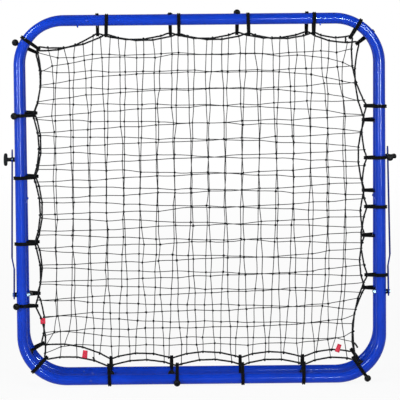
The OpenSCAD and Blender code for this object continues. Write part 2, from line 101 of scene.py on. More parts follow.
# %% From a frame's own plane to the finished place
SIDES = {"front": 1, "rear": -1}


def stand_up(points, side):
    """Points (x, out of the plane, up) of a frame, placed on the front (1) or rear (-1)."""
    p = np.asarray(points, float).reshape(-1, 3)
    y, z = p[:, 1] - TOP_PITCH / 2, p[:, 2] - HALF
    lean_y = y * math.cos(LEAN) + z * math.sin(LEAN)
    lean_z = -y * math.sin(LEAN) + z * math.cos(LEAN)
    return np.stack([p[:, 0], side * lean_y, HINGE_Z + lean_z], 1)


print("middle of the front frame:", stand_up((0, 0, 0), SIDES["front"])[0].round(3))

# %% [markdown]
# Twenty elastic loops tie each net to its frame. Nobody places them evenly by hand, so they
# aren't computed but listed: the direction in which a loop pulls (0 is right, 90 is up), how
# far along that side it sits in millimetres, and how far its ball has turned round the tube.

# %% Places of the elastic loops
LOOPS = {
    "front": [(0, -207, -90), (0, -22, -90), (0, 111, 27), (0, 250, -90), (59, 0, -90),
              (90, BUTTON_X + 8, -90), (90, 133, -90), (90, -54, -90), (90, 31 - JOINT_X, -90),
              (145, 0, -90), (180, 232, 64), (180, 65, -90), (180, -114, -90), (180, -282, 62),
              (226, 0, -90), (270, -252, -90), (270, -68, 75), (270, 110, -90),
              (270, JOINT_X - 4, -90), (304, 0, 8)],
    "rear": [(0, -257, -90), (0, -110, -90), (0, 13, -90), (0, 208, -90), (38, 0, -100),
             (90, BUTTON_X - 9, 90), (90, 104, 60), (90, -78, 75), (90, 5 - JOINT_X, -90),
             (156, 0, 25), (180, 235, -90), (180, 61, -90), (180, -121, -90), (180, -263, -90),
             (208, 0, -90), (270, -250, -90), (270, -84, -90), (270, 106, 78),
             (270, JOINT_X - 3, -90), (306, 0, -90)],
}


def pull_of(loop):
    a = math.radians(loop[0])
    return np.array([math.cos(a), math.sin(a)])


def foot_of(loop):
    """Point of the tube's centre line that a loop wraps."""
    out = pull_of(loop)
    if loop[0] % 180 == 0:
        return np.array([HALF * out[0], loop[1] * MM])
    if loop[0] % 90 == 0:
        return np.array([loop[1] * MM, HALF * out[1]])
    return np.sign(out) * (HALF - BEND_R) + BEND_R * out


def rope_anchor(loop, end=0):
    """Point of the border rope in a loop, or SEAT_HALF to either side of it."""
    out = pull_of(loop)
    return foot_of(loop) - TETHER * out + end * SEAT_HALF * np.array([-out[1], out[0]])


print("loops on the two frames:", {side: len(rows) for side, rows in LOOPS.items()})

# %% [markdown]
# The border rope runs round each net. The loops pull it outwards into points, and between
# them the net pulls it back into shallow curves. A catenary would be the exact curve, but
# a parabola of the same sag looks the same and is one line of code.

# %% The line of the border rope
LINE_STEP, ROPE_STEP = 2.5 * MM, 2.4 * MM


def rope_line(side):
    """Closed line of the border rope, flat in the frame's plane."""
    rows = LOOPS[side]
    line = []
    for i, a in enumerate(rows):
        b = rows[(i + 1) % len(rows)]
        line += [rope_anchor(a, -1), rope_anchor(a)]
        start, end = rope_anchor(a, 1), rope_anchor(b, -1)
        span = end - start
        inward = np.array([-span[1], span[0]])
        count = max(3, int(np.linalg.norm(span) / LINE_STEP))
        for k in range(count):
            s = k / count
            line.append(start + span * s + inward * SAG * 4 * s * (1 - s))
    return np.array(line)


def even_points(line, step, closed=True):
    """The same line with points an even distance apart, and its length."""
    pts = np.vstack([line, line[:1]]) if closed else np.asarray(line)
    steps = np.linalg.norm(np.diff(pts, axis=0), axis=1)
    reach = np.concatenate([[0], np.cumsum(steps)])
    count = max(4, int(round(reach[-1] / step)))
    at = np.linspace(0, reach[-1], count + (0 if closed else 1), endpoint=not closed)
    even = np.stack([np.interp(at, reach, pts[:, k]) for k in range(pts.shape[1])], 1)
    return even, reach[-1]


ROPES = {side: even_points(rope_line(side), ROPE_STEP)[0] for side in LOOPS}
print("rope points:", {side: len(p) for side, p in ROPES.items()})

# %% [markdown]
# A net under even pull settles where every knot lies at the average of its four
# neighbours. Solving that for all knots at once, with the ends of the strands fixed on the
# rope, gives the gentle bends of a real net without drawing any of them by hand.

# %% Where the strands meet the rope
KNOTS = 18
TIE_SCATTER = 1.5   # how unevenly the strands are tied, in millimetres
# First and last strand on each side of a net, from the middle of the frame, and how far the
# strands halfway along are off an even spacing, all in millimetres
STRAND_ENDS = {
    "front": {"top": (-410, 368, 15), "bottom": (-387, 393, 10), "left": (355, -413, 16),
              "right": (404, -359, -1)},
    "rear": {"top": (-381, 402, 2), "bottom": (-427, 358, 16), "left": (398, -374, 0),
             "right": (348, -407, 8)},
}
# Which coordinate of the rope the numbers above count along, and on which side it is met
EDGES = {"top": (0, 1), "bottom": (0, -1), "left": (1, -1), "right": (1, 1)}
SIDE_FROM, OUT_OF_REACH = 0.25, 9


def on_rope(rope, axis, value, other_sign):
    """The rope's point where its x or z has a value, on the side that is asked for."""
    near = rope[:, 1 - axis] * other_sign > SIDE_FROM
    return rope[np.argmin(np.where(near, abs(rope[:, axis] - value), OUT_OF_REACH))]


def strand_ends(side, chance):
    """Where the strands of a net are tied, a little unevenly, to its rope."""
    share = np.linspace(0, 1, KNOTS)
    ends = {}
    for name, (first, last, drift) in STRAND_ENDS[side].items():
        even = first + (last - first) * share + drift * 4 * share * (1 - share)
        places = (even + chance.normal(0, TIE_SCATTER, KNOTS)) * MM
        axis, sign = EDGES[name]
        ends[name] = [on_rope(ROPES[side], axis, place, sign) for place in places]
    return ends


TIES = {side: strand_ends(side, np.random.default_rng(seed))
        for side, seed in (("front", 3), ("rear", 4))}
print("strands tied to each rope:", sum(len(ends) for ends in TIES["front"].values()))


# %% Where the knots settle
def settle_knots(ends):
    """Solves for the knots of a net between the ends of its strands."""
    n = KNOTS
    pull, fixed = np.zeros((n * n, n * n)), np.zeros((n * n, 2))
    for i in range(n):
        for j in range(n):
            row = i * n + j
            for a, b in ((i + 1, j), (i - 1, j), (i, j + 1), (i, j - 1)):
                pull[row, row] += 1
                if 0 <= a < n and 0 <= b < n:
                    pull[row, a * n + b] -= 1
                else:
                    fixed[row] += (ends["left"][b] if a < 0 else ends["right"][b] if a == n
                                   else ends["top"][a] if b < 0 else ends["bottom"][a])
    return np.linalg.solve(pull, fixed).reshape(n, n, 2)


NETS = {side: settle_knots(ends) for side, ends in TIES.items()}
for side, knots in NETS.items():
    gaps = np.linalg.norm(np.diff(knots, axis=0), axis=2)
    print(side, "net: meshes from", round(gaps.min(), 4), "to", round(gaps.max(), 4), "m")

# %% [markdown]
# Every strand that is tied to the rope pulls a small kink into it. A real kink has no
# simple formula, but a soft bell curve at each tie, aimed at the middle, reads as one.

# %% Kinks where the strands pull on the rope
KINK_WIDTH, KINK_DEPTH = 7 * MM, 1.3 * MM


def kink_rope(side):
    rope = ROPES[side].copy()
    for ends in TIES[side].values():
        for end in ends:
            d = np.linalg.norm(ROPES[side] - end, axis=1)
            toward = -end / np.linalg.norm(end)
            rope += np.exp(-(d / KINK_WIDTH) ** 2)[:, None] * toward * KINK_DEPTH
    return rope


KINKED = {side: kink_rope(side) for side in LOOPS}
print("deepest kink:", round(abs(KINKED["front"] - ROPES["front"]).max(), 5), "m")

# %% [markdown]
# Now the tools that turn lines into things. A plain mesh of edges carries the lines into
# Geometry Nodes, and a small helper writes each node tree with named inputs. When a tree
# has run, its result is copied out as a plain mesh that no longer needs the tree.

# %% Lines and points as a mesh
def line_mesh(name, lines, loose=(), aims=(), marks=()):
    """Lines are (points, closed) pairs. Loose points carry an aim and a mark."""
    verts, edges = [], []
    for points, closed in lines:
        first = len(verts)
        verts += [tuple(p) for p in points]
        last = len(verts) - 1
        edges += [(i, i + 1) for i in range(first, last)]
        if closed:
            edges.append((last, first))
    first_loose = len(verts)
    verts += [tuple(p) for p in loose]
    mesh = bpy.data.meshes.new(name)
    mesh.from_pydata(verts, edges, [])
    mesh.attributes.new("aim", "FLOAT_VECTOR", "POINT")
    mesh.attributes.new("mark", "FLOAT", "POINT")
    for k, value in enumerate(aims):
        mesh.attributes["aim"].data[first_loose + k].vector = value
    for k, value in enumerate(marks):
        mesh.attributes["mark"].data[first_loose + k].value = value
    return show(name, mesh)


# %% A helper that adds one node, for shapes and finishes alike
def add_node(tree, kind, settings, inputs):
    """Inputs go by their name, or by their number written as i0, i1 and so on."""
    node = tree.nodes.new(kind)
    for key, value in (settings or {}).items():
        setattr(node, key, value)
    for key, value in inputs.items():
        place = int(key[1:]) if key[0] == "i" and key[1:].isdigit() else key.replace("_", " ")
        if isinstance(value, bpy.types.NodeSocket):
            tree.links.new(value, node.inputs[place])
        else:
            node.inputs[place].default_value = value
    return node


# %% A helper that writes node trees
class Tree:
    """A Geometry Nodes tree with named inputs."""

    def __init__(self, name, **inputs):
        self.tree = bpy.data.node_groups.new(name, "GeometryNodeTree")
        face = self.tree.interface
        face.new_socket("Geometry", in_out="INPUT", socket_type="NodeSocketGeometry")
        for label, (kind, value) in inputs.items():
            socket = face.new_socket(label.replace("_", " "), in_out="INPUT",
                                     socket_type="NodeSocket" + kind)
            if value is not None:
                socket.default_value = value
        face.new_socket("Geometry", in_out="OUTPUT", socket_type="NodeSocketGeometry")
        self.source = self.tree.nodes.new("NodeGroupInput")
        self.result = self.tree.nodes.new("NodeGroupOutput")

    def add(self, kind, settings=None, **inputs):
        return add_node(self.tree, kind, settings, inputs)

    def math(self, how, a, b=0.0):
        return self.add("ShaderNodeMath", {"operation": how}, i0=a, i1=b).outputs[0]

    def vector(self, how, **inputs):
        return self.add("ShaderNodeVectorMath", {"operation": how}, **inputs).outputs[0]

    def given(self, label):
        return self.source.outputs[label]

    def end(self, geometry, finish):
        """Every tree ends in Realize Instances and Set Material."""
        real = self.add("GeometryNodeRealizeInstances", Geometry=geometry)
        done = self.add("GeometryNodeSetMaterial", Geometry=real.outputs[0], Material=finish)
        self.tree.links.new(done.outputs[0], self.result.inputs[0])


def grow(source, tree, name, **values):
    """Runs a tree on an object and returns the result as a plain mesh object."""
    modifier = source.modifiers.new("grow", "NODES")
    modifier.node_group = tree.tree
    sockets = {s.name: s.identifier for s in tree.tree.interface.items_tree
               if s.in_out == "INPUT"}
    for label, value in values.items():
        modifier[sockets[label.replace("_", " ")]] = value
    source.update_tag()
    graph = bpy.context.evaluated_depsgraph_get()
    mesh = bpy.data.meshes.new_from_object(source.evaluated_get(graph), depsgraph=graph,
                                           preserve_all_data_layers=True)
    source.modifiers.remove(modifier)
    bpy.data.objects.remove(source)
    mesh.name = name
    mesh.calc_loop_triangles()
    print(name, "has", len(mesh.loop_triangles), "triangles")
    return show(name, mesh)


# %% [markdown]
# Black is never just black. Twine, rope, elastic and moulded plastic differ in how they
# scatter light, so each finish gets its own pattern and roughness. A pattern that has to
# follow a cord reads two values stored on its mesh: the distance along, and the turn round.

# %% A helper for materials
class Finish:
    def __init__(self, name, **shader):
        self.material = bpy.data.materials.new(name)
        self.material.use_nodes = True
        self.tree = self.material.node_tree
        self.shader = self.tree.nodes["Principled BSDF"]
        for label, value in shader.items():
            self.shader.inputs[label.replace("_", " ")].default_value = value
        print("finish:", name)

    def add(self, kind, settings=None, **inputs):
        return add_node(self.tree, kind, settings, inputs)

    def place(self):
        return self.add("ShaderNodeTexCoord").outputs["Object"]

    def noise(self, scale, detail=2.0, rough=0.5):
        node = self.add("ShaderNodeTexNoise", Vector=self.place(), Scale=scale, Detail=detail,
                        Roughness=rough)
        return node.outputs["Fac"]

    def math(self, how, a, b=0.0):
        return self.add("ShaderNodeMath", {"operation": how}, i0=a, i1=b).outputs[0]

    def span(self, value, low, high, to_low, to_high):
        return self.add("ShaderNodeMapRange", Value=value, From_Min=low, From_Max=high,
                        To_Min=to_low, To_Max=to_high).outputs[0]

    def mix(self, share, a, b):
        a, b = (v if isinstance(v, bpy.types.NodeSocket) else (*v, 1) for v in (a, b))
        return self.add("ShaderNodeMix", {"data_type": "RGBA"}, Factor=share, i6=a, i7=b).outputs[2]

    def give(self, label, value):
        self.tree.links.new(value, self.shader.inputs[label])

    def blotch(self, value, low, high, dark, pale):
        """The colour goes from dark to pale as the value goes from low to high."""
        self.give("Base Color", self.mix(self.span(value, low, high, 0, 1), dark, pale))

    def bump(self, height, depth, strength=1.0):
        node = self.add("ShaderNodeBump", Height=height, Strength=strength, Distance=depth)
        self.give("Normal", node.outputs[0])

    def around(self):
        """The turn round a cord in radians, and the distance along it in metres."""
        turned = self.add("ShaderNodeAttribute", {"attribute_name": "turn"})
        split = self.add("ShaderNodeSeparateXYZ", Vector=turned.outputs["Vector"])
        angle = self.math("ARCTAN2", split.outputs[1], split.outputs[0])
        along = self.add("ShaderNodeAttribute", {"attribute_name": "along"})
        return angle, along.outputs["Fac"]

    def twist(self, how, turns, per_metre):
        """Stripes that wind round a cord, one way with ADD and the other with SUBTRACT."""
        angle, along = self.around()
        return self.math("SINE", self.math(how, self.math("MULTIPLY", angle, turns),
                                           self.math("MULTIPLY", along, per_metre)))


# %% [markdown]
# The frame is powder coated in royal blue. Powder melts into a glossy skin with a very fine
# orange peel, and it gets dull where hands and grit rub it. An image could carry that, but
# noise in the object's own coordinates needs no unwrapping. The gloss is taken back towards
# the edges, which keeps them dark against a white background.

# %% Blue powder coat
blue = Finish("royal_blue_powder_coat", Roughness=0.3, Specular_IOR_Level=0.15)
deep, light, dusty = (0.001, 0.034, 0.44), (0.002, 0.042, 0.52), (0.10, 0.15, 0.55)
tint = blue.mix(blue.span(blue.noise(9, 3), 0.35, 0.65, 0, 1), deep, light)
scuff = blue.span(blue.noise(420, 4, rough=0.7), 0.72, 0.80, 0, 0.25)
blue.give("Base Color", blue.mix(scuff, tint, dusty))
gloss = blue.span(blue.noise(35, 4), 0.3, 0.7, 0.11, 0.16)
blue.give("Roughness", blue.math("ADD", gloss, scuff))
blue.bump(blue.noise(260, 2), 0.000002, 0.3)
rim = blue.add("ShaderNodeLayerWeight", Blend=0.5).outputs["Facing"]
blue.give("Specular IOR Level", blue.span(rim, 0.5, 0.8, 0.15, 0.0))

# %% [markdown]
# The two side struts are flat steel with the same blue paint as the tubes. Their copy of that
# blue is painted darker, as painted shade, because the struts stand edge-on and sideways, out
# of the light. A second material is simpler than a mask that tells struts from tubes.

# %% Blue painted darker on the struts, as painted shade
# Painted shade: this copy of the blue paint is darker than the tubes' blue
shaded_strut_blue = Finish("strut_blue_painted_darker_as_shade", Roughness=0.55, Specular_IOR_Level=0.02)
shaded_strut_blue.blotch(shaded_strut_blue.noise(24, 3), 0.35, 0.65, (0.003, 0.015, 0.17),
                  (0.004, 0.022, 0.24))
shaded_strut_blue.bump(shaded_strut_blue.noise(300, 2), 0.00001, 0.5)

# %% [markdown]
# The spring buttons and rivets are painted too, but fingers and tools keep them polished,
# so they get the smoothest finish of all and glint as small points.

# %% Polished blue on the buttons and rivets
button_blue = Finish("polished_blue_buttons", Roughness=0.06, Specular_IOR_Level=0.6)
button_blue.blotch(button_blue.noise(500, 3), 0.4, 0.7, deep, (0.02, 0.08, 0.60))

# %% [markdown]
# Bolts, nuts and studs are zinc plated: a metal that is bluish, a bit cloudy and not quite
# a mirror. Noise on the colour makes the clouds, and finer noise makes the gloss uneven.

# %% Bright zinc
zinc = Finish("bright_zinc_plate", Metallic=1.0, Roughness=0.3)
zinc.blotch(zinc.noise(60, 4), 0.3, 0.7, (0.20, 0.27, 0.35), (0.30, 0.38, 0.47))
zinc.give("Roughness", zinc.span(zinc.noise(300, 4), 0.3, 0.7, 0.34, 0.5))
zinc.bump(zinc.noise(1400, 3), 0.00003, 0.4)

# %% [markdown]
# Balls, knobs and spacers are moulded in black plastic from a finely sparked mould. The
# grain is far too small to model, so a bump of fine noise stands for it.

# %% Black moulded plastic
plastic = Finish("black_moulded_plastic", Roughness=0.42, Specular_IOR_Level=0.05)
plastic.blotch(plastic.noise(45, 4), 0.35, 0.7, (0.004, 0.004, 0.005), (0.012, 0.012, 0.013))
plastic.give("Roughness", plastic.span(plastic.noise(260, 3), 0.3, 0.7, 0.34, 0.52))
plastic.bump(plastic.noise(1100, 2), 0.00006, 0.5)

# %% [markdown]
# Net twine is twisted from fine plastic threads. Modelling the threads of sixty metres of
# twine would take millions of faces, so stripes that wind round the cord stand for them.

# %% Black net twine
twine = Finish("black_net_twine", Roughness=0.6, Specular_IOR_Level=0.08)
lay = twine.twist("ADD", 2.0, 2400)
twine.blotch(lay, -1, 1, (0.003, 0.003, 0.003), (0.010, 0.010, 0.011))
twine.bump(lay, 0.00012, 0.8)

# %% [markdown]
# The border rope's strands are modelled further down, so its finish only adds what is
# finer than they are: broken fibres, as noise, and a little sheen from the fuzz.

# %% Black border rope
rope_finish = Finish("black_braided_rope", Roughness=0.75, Specular_IOR_Level=0.06,
                     Sheen_Weight=0.01, Sheen_Roughness=0.5)
fuzz = rope_finish.noise(700, 4)
rope_finish.blotch(fuzz, 0.3, 0.7, (0.004, 0.004, 0.005), (0.014, 0.014, 0.015))
rope_finish.bump(fuzz, 0.0002, 0.7)

# %% [markdown]
# The elastic has a woven sheath, so its threads cross. Two sets of winding stripes, one
# each way, are multiplied, which leaves the small diamonds of a weave.

# %% Woven sheath of the elastic cord
sheath = Finish("woven_elastic_sheath", Roughness=0.7, Specular_IOR_Level=0.03)
weave = sheath.math("MULTIPLY", *(sheath.twist(how, 6.0, 3000) for how in ("ADD", "SUBTRACT")))
sheath.blotch(weave, -1, 1, (0.002, 0.002, 0.002), (0.008, 0.008, 0.009))
sheath.bump(weave, 0.00015, 0.9)

# %% [markdown]
# The tags are plain woven tape. Its warp and weft run straight across each other, so two
# wave textures at right angles, multiplied, give the cloth its grid.

# %% Red woven tape
red = Finish("red_woven_tape", Roughness=0.8, Specular_IOR_Level=0.2, Sheen_Weight=0.2)
warp, weft = (red.add("ShaderNodeTexWave", {"bands_direction": way}, Vector=red.place(),
                      Scale=420.0, Distortion=0.3).outputs["Fac"] for way in "XZ")
cloth = red.math("MULTIPLY", warp, weft)
red.blotch(cloth, 0, 0.6, (0.50, 0.012, 0.035), (0.82, 0.035, 0.085))
red.bump(cloth, 0.0002, 0.6)

# %% [markdown]
# Every cord is a circle swept along a line. The tree stores the distance along on the line
# and the turn round on the circle, and the sweep carries both on to the finished mesh.

# %% A tree that sweeps a cord along a line
def stored(tree, geometry, name, value, data_type):
    """Keeps a value on the points of a geometry under a name."""
    return tree.add("GeometryNodeStoreNamedAttribute", {"data_type": data_type, "domain": "POINT"},
                    Geometry=geometry, Name=name, Value=value).outputs[0]


def sweep(tree, curve, radius, sides):
    """Adds the sweep itself to a tree and returns its geometry."""
    reach = tree.add("GeometryNodeSplineParameter").outputs["Length"]
    marked = stored(tree, curve, "along", reach, "FLOAT")
    ring = tree.add("GeometryNodeCurvePrimitiveCircle", Resolution=sides, Radius=radius)
    factor = tree.add("GeometryNodeSplineParameter").outputs["Factor"]
    share = tree.math("MULTIPLY", factor, math.tau)
    round_it = tree.add("ShaderNodeCombineXYZ", X=tree.math("COSINE", share),
                        Y=tree.math("SINE", share)).outputs[0]
    ring = stored(tree, ring.outputs["Curve"], "turn", round_it, "FLOAT_VECTOR")
    tube = tree.add("GeometryNodeCurveToMesh", Curve=marked, Profile_Curve=ring, Fill_Caps=True)
    return tree.add("GeometryNodeSetShadeSmooth", Geometry=tube.outputs[0]).outputs[0]


cord_tree = Tree("cord", Radius=("Float", 0.001), Sides=("Int", 8), Finish=("Material", None))
cord_curve = cord_tree.add("GeometryNodeMeshToCurve", Mesh=cord_tree.given("Geometry"))
cord_tree.end(sweep(cord_tree, cord_curve.outputs[0], cord_tree.given("Radius"),
                    cord_tree.given("Sides")), cord_tree.given("Finish"))
print("cord tree:", len(cord_tree.tree.nodes), "nodes")

# %% [markdown]
# A braided rope is eight thin strands that wind round a common line, four one way and four
# the other. The tree copies the line once for each strand and pushes each copy outwards
# along a turning direction, so the braid follows every bend of the line.

# %% A tree that braids a rope along a line
STRAND_SIDES = 4
braid_tree = Tree("braid", Strands=("Int", 4), Lay_radius=("Float", 0.0014),
                  Strand_radius=("Float", 0.0009), Pitch=("Float", 0.016),
                  Finish=("Material", None))


def wind(direction):
    """Half of the strands, wound one way (1) or the other (-1)."""
    t = braid_tree
    line = t.add("GeometryNodeMeshToCurve", Mesh=t.given("Geometry"))
    copies = t.add("GeometryNodeDuplicateElements", {"domain": "SPLINE"},
                   Geometry=line.outputs[0], Amount=t.given("Strands"))
    reach = t.add("GeometryNodeSplineParameter").outputs["Length"]
    along = t.math("DIVIDE", reach, t.given("Pitch"))
    share = t.math("DIVIDE", copies.outputs["Duplicate Index"], t.given("Strands"))
    turns = t.math("ADD", t.math("MULTIPLY", along, float(direction)), share)
    angle = t.math("MULTIPLY", turns, math.tau)
    normal = t.add("GeometryNodeInputNormal").outputs[0]
    tangent = t.add("GeometryNodeInputTangent").outputs[0]
    across = t.vector("CROSS_PRODUCT", i0=tangent, i1=normal)
    part = [t.vector("SCALE", i0=v, Scale=t.math(how, angle))
            for v, how in ((normal, "COSINE"), (across, "SINE"))]
    push = t.vector("SCALE", i0=t.vector("ADD", i0=part[0], i1=part[1]),
                    Scale=t.given("Lay radius"))
    moved = t.add("GeometryNodeSetPosition", Geometry=copies.outputs["Geometry"], Offset=push)
    return sweep(t, moved.outputs[0], t.given("Strand radius"), STRAND_SIDES)


both = braid_tree.add("GeometryNodeJoinGeometry")
for direction in (1, -1):
    braid_tree.tree.links.new(wind(direction), both.inputs[0])
braid_tree.end(both.outputs[0], braid_tree.given("Finish"))
print("braid tree:", len(braid_tree.tree.nodes), "nodes")

# %% [markdown]
# The net is knotted twine. Its tree sweeps every strand and drops one small knot on each
# marked point, turned and sized a little differently each time from a fixed seed. The knot
# repeats hundreds of times, so it is a dented ball of a few dozen faces, not a real hitch.

# %% A knot with only a few dozen faces
DENT, DENT_TWIST, FLATTENED = 0.22, 2.2, 0.8   # as shares of its radius


def knot_shape():
    mesh = bpy.data.meshes.new("knot")
    bm = bmesh.new()
    bmesh.ops.create_icosphere(bm, subdivisions=2, radius=1.0)
    for v in bm.verts:
        a = math.atan2(v.co.y, v.co.x)
        v.co *= 1 + DENT * math.sin(3 * a + DENT_TWIST * v.co.z)
        v.co.z *= FLATTENED
    bm.to_mesh(mesh)
    bm.free()
    print("one knot has", len(mesh.polygons), "faces")
    return show("knot", mesh)


# %% The tree of the net
net_tree = Tree("net", Twine=("Float", 0.0008), Knot=("Object", None), Size=("Float", 0.002),
                Seed=("Int", 7), Finish=("Material", None))
TWINE_SIDES = 6
SPIN = 3.1                      # turn of a knot about each axis, in radians either way
SMALLEST, LARGEST = 0.85, 1.15  # size of a knot, as a share of the usual one
net_lines = net_tree.add("GeometryNodeMeshToCurve", Mesh=net_tree.given("Geometry"))
net_strands = sweep(net_tree, net_lines.outputs[0], net_tree.given("Twine"), TWINE_SIDES)
mark = net_tree.add("GeometryNodeInputNamedAttribute", {"data_type": "FLOAT"},
                    Name="mark").outputs["Attribute"]
is_knot = net_tree.add("FunctionNodeCompare", {"operation": "GREATER_THAN"}, i0=mark, i1=0.5)
spots = net_tree.add("GeometryNodeMeshToPoints", Mesh=net_tree.given("Geometry"),
                     Selection=is_knot.outputs[0])
shape = net_tree.add("GeometryNodeObjectInfo", Object=net_tree.given("Knot"))
spin = net_tree.add("FunctionNodeRandomValue", {"data_type": "FLOAT_VECTOR"}, i0=(-SPIN,) * 3,
                    i1=(SPIN,) * 3, Seed=net_tree.given("Seed"))
size = net_tree.add("FunctionNodeRandomValue", {"data_type": "FLOAT"}, i2=SMALLEST, i3=LARGEST,
                    Seed=net_tree.given("Seed"))
usual = net_tree.math("MULTIPLY", size.outputs[1], net_tree.given("Size"))
placed = net_tree.add("GeometryNodeInstanceOnPoints", Points=spots.outputs[0],
                      Instance=shape.outputs["Geometry"], Rotation=spin.outputs[0],
                      Scale=net_tree.math("MULTIPLY", usual, mark))
real_knots = net_tree.add("GeometryNodeRealizeInstances", Geometry=placed.outputs[0])
smooth_knots = net_tree.add("GeometryNodeSetShadeSmooth", Geometry=real_knots.outputs[0])
whole_net = net_tree.add("GeometryNodeJoinGeometry")
for part in (net_strands, smooth_knots.outputs[0]):
    net_tree.tree.links.new(part, whole_net.inputs[0])
net_tree.end(whole_net.outputs[0], net_tree.given("Finish"))
print("net tree:", len(net_tree.tree.nodes), "nodes")

# %% [markdown]
# No two meshes of a used net are alike. Each knot is moved a little off its settled place,
# and each piece of twine between two knots bows a little, all drawn from one fixed seed.

# %% Lay out the strands and knots of both nets, then grow them
TWINE_R, KNOT_R = 1.15 * MM, 3.1 * MM
KNOT_SCATTER = np.array([1.5, 1.0, 1.5]) * MM
BOW, BENDS = 0.5 * MM, ((0.35, 1.0), (0.7, 0.8))   # how far twine bows, and where
HITCH_MARK = 1.15   # a hitch on the rope, as a share of a knot
rng = np.random.default_rng(11)


def in_plane(p):
    """A point (x, up) of the frame's plane with its middle coordinate filled in."""
    return np.array([p[0], 0, p[1]])


def net_lines_of(side):
    knots, edge = NETS[side], TIES[side]
    n = KNOTS
    flat = np.stack([knots[:, :, 0], np.zeros((n, n)), knots[:, :, 1]], 2)
    flat += rng.normal(0, 1, flat.shape) * KNOT_SCATTER
    runs = [[in_plane(edge["top"][i]), *flat[i], in_plane(edge["bottom"][i])] for i in range(n)]
    runs += [[in_plane(edge["left"][j]), *flat[:, j], in_plane(edge["right"][j])]
             for j in range(n)]
    lines = []
    for run in runs:
        points = []
        for a, b in zip(run, run[1:]):
            bow = rng.normal(0, 1, 3) * BOW
            points += [a] + [a + (b - a) * s + bow * part for s, part in BENDS]
        lines.append((stand_up(points + [run[-1]], SIDES[side]), False))
    hitches = [in_plane(p) for ends in edge.values() for p in ends]
    loose = stand_up(np.vstack([flat.reshape(-1, 3), hitches]), SIDES[side])
    return lines, loose, [1.0] * (n * n) + [HITCH_MARK] * len(hitches)


knot = knot_shape()
net_pieces = {}
for side in LOOPS:
    lines, loose, marks = net_lines_of(side)
    source = line_mesh(side + "_net_lines", lines, loose, marks=marks)
    net_pieces[side] = grow(source, net_tree, side + "_knotted_net", Twine=TWINE_R, Knot=knot,
                            Size=KNOT_R, Seed=7, Finish=twine.material)
bpy.data.objects.remove(knot)

# %% [markdown]
# The border ropes are braided along their kinked lines. The pitch is stretched a little so
# that a whole number of turns goes round and the braid meets itself. On the front rope,
# three cut ends stick out where it was knotted, each a short braid of its own.

# %% Braid the border ropes
PITCH, TAIL_STEP, TAIL_DROP = 0.016, 1.6 * MM, 2.5
TAILS = {"front": [[(393.6, 435), (394.5, 430), (393.6, 426), (395, 421)],
                   [(413.4, -391.7), (417, -396), (419.5, -400), (422, -405)],
                   [(-296, -424), (-293, -428), (-291.5, -433)]],
         "rear": []}
rope_pieces = {}
for side in LOOPS:
    flat, reach = even_points(KINKED[side], ROPE_STEP)
    ring = stand_up(np.stack([flat[:, 0], np.zeros(len(flat)), flat[:, 1]], 1), SIDES[side])
    ends = []
    for tail in TAILS[side]:
        p = np.array(tail) * MM
        out = np.linspace(0, -TAIL_DROP, len(p)) * MM
        p, _ = even_points(np.stack([p[:, 0], out, p[:, 1]], 1), TAIL_STEP, False)
        ends.append((stand_up(p, SIDES[side]), False))
    source = line_mesh(side + "_rope_line", [(ring, True)] + ends)
    rope_pieces[side] = grow(source, braid_tree, side + "_braided_rope", Strands=4,
                             Lay_radius=1.5 * MM, Strand_radius=1.05 * MM,
                             Pitch=reach / round(reach / PITCH), Finish=rope_finish.material)
    print(side, "border rope is", round(reach, 3), "m round")

# %% [markdown]
# Each elastic is one cord. It leaves its ball, wraps the tube, passes round the border rope,
# comes back round the tube, turns under the ball and returns the same way to the ball. Seen
# from the front this gives the two cords side by side that cross each tube.

# %% Once round tube and rope
CORD_R = 2.3 * MM
WRAP_R = TUBE_R + CORD_R + 0.02 * MM
ROPE_WRAP_R = 5.0 * MM
LEAVING = ((0.10, 7), (0.12, 3.6), (0.20, 1.2))   # turn past the ball, lift off the wrap in mm
WRAP_FROM, WRAP_TO = 0.36, -0.10                  # ends of the wrap, in turn past the ball
WRAP_STEP = 0.22
BETWEEN = (0.25, 0.5, 0.75)
ROPE_POINTS = 9


def belt_line(start):
    """From the ball's place round tube and rope, and back to just before it."""
    touch = math.acos((WRAP_R - ROPE_WRAP_R) / TETHER)
    arc_end = math.pi - touch
    big = lambda a, r=WRAP_R: np.array([r * math.cos(a), r * math.sin(a)])
    small = lambda a: np.array([-TETHER + ROPE_WRAP_R * math.cos(a), ROPE_WRAP_R * math.sin(a)])
    path = [big(start + past, WRAP_R + lift * MM) for past, lift in LEAVING]
    count = max(2, int((arc_end - start) / WRAP_STEP))
    path += [big(a) for a in np.linspace(start + WRAP_FROM, arc_end, count)]
    first, last = path[-1], small(arc_end)
    path += [first + (last - first) * s for s in BETWEEN]
    path += [small(a) for a in np.linspace(arc_end, math.tau - arc_end, ROPE_POINTS)]
    first, last = path[-1], big(-arc_end)
    path += [first + (last - first) * s for s in BETWEEN]
    count = max(2, int((arc_end + start) / WRAP_STEP))
    path += [big(a) for a in np.linspace(-arc_end, start + WRAP_TO, count)]
    return np.array(path)


print("a loop with its ball in front has", len(belt_line(math.pi / 2)), "points each way")

# %% The whole cord of one loop, and its ball's place
CORD_GAP = 0.05 * MM
SQUEEZE, SQUEEZE_REACH = 0.12, 9 * MM   # the cords come closer where they hold the rope


